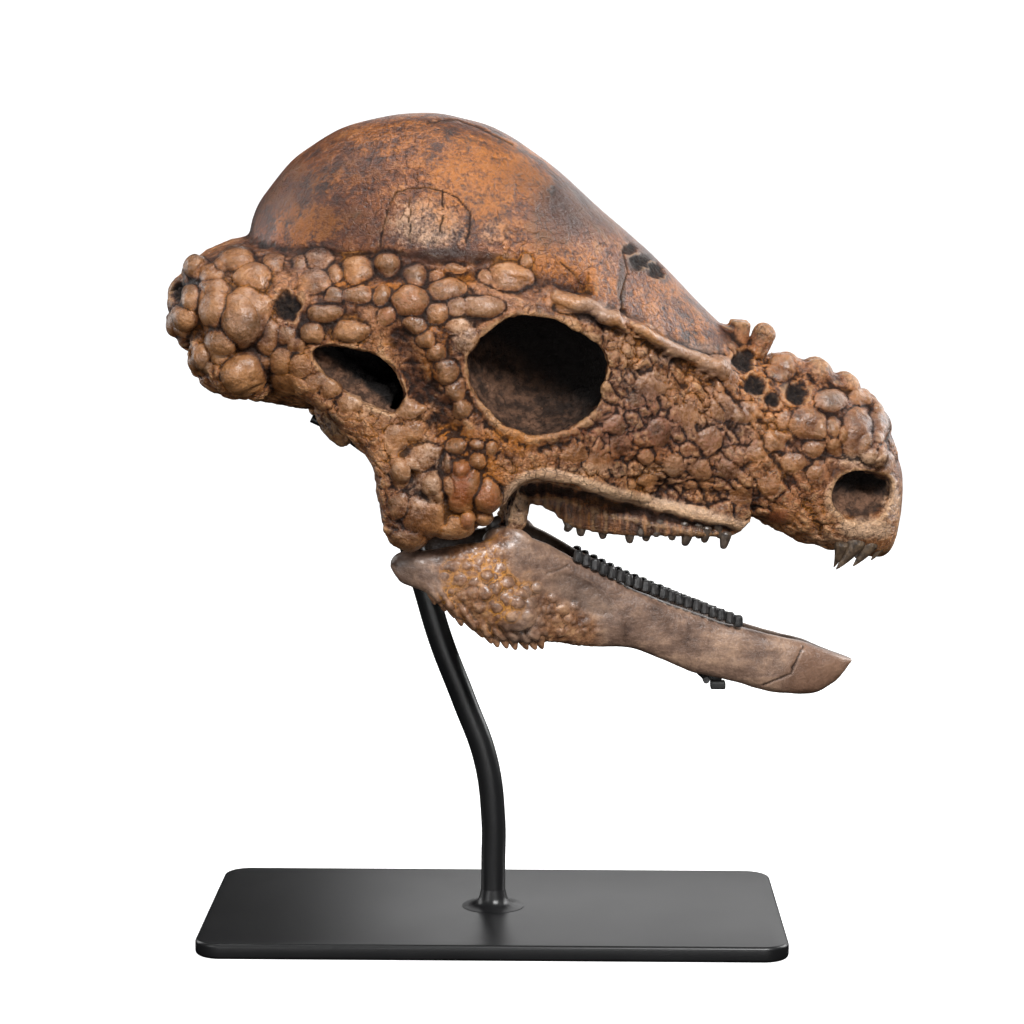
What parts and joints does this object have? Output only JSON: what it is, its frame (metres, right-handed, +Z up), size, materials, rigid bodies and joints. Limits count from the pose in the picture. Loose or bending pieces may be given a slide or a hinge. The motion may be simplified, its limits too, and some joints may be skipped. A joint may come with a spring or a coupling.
{
  "type": "dinosaur skull fossil on stand",
  "caption": "Skull of a dome-headed plant-eating dinosaur with its mouth open, held by a bent black steel rod on a flat rounded base plate.",
  "frame": {"origin": "centre of the base plate's underside", "axes": "+X towards the snout, +Y towards the skull's left side, +Z up"},
  "size_m": [0.6028, 0.2925, 0.6786],
  "materials": {
    "dome_bone": "fossil bone, polished brown and orange",
    "rough_bone": "fossil bone, knobbly olive brown with ochre in the hollows",
    "face_bone": "fossil bone, wrinkled grey brown",
    "jaw_bone": "fossil bone, smooth grey brown",
    "black_steel": "satin black paint",
    "black_rubber": "matt black"
  },
  "bodies": {
    "root": {"dome": "dome_bone", "braincase": "rough_bone", "squamosal_right": "rough_bone", "squamosal_left": "rough_bone", "postorbital_right": "rough_bone", "postorbital_left": "rough_bone", "jugal_right": "rough_bone", "jugal_left": "rough_bone", "lacrimal_right": "face_bone", "lacrimal_left": "face_bone", "maxilla_right": "face_bone", "maxilla_left": "face_bone", "nasal": "face_bone", "premaxilla": "face_bone", "surangular_right": "rough_bone", "surangular_left": "rough_bone", "dentary_right": "jaw_bone", "dentary_left": "jaw_bone", "predentary": "jaw_bone", "stand_base": "black_steel", "stand_post": "black_steel", "stand_pad_right": "black_rubber", "stand_pad_left": "black_rubber"}
  },
  "joints": []
}
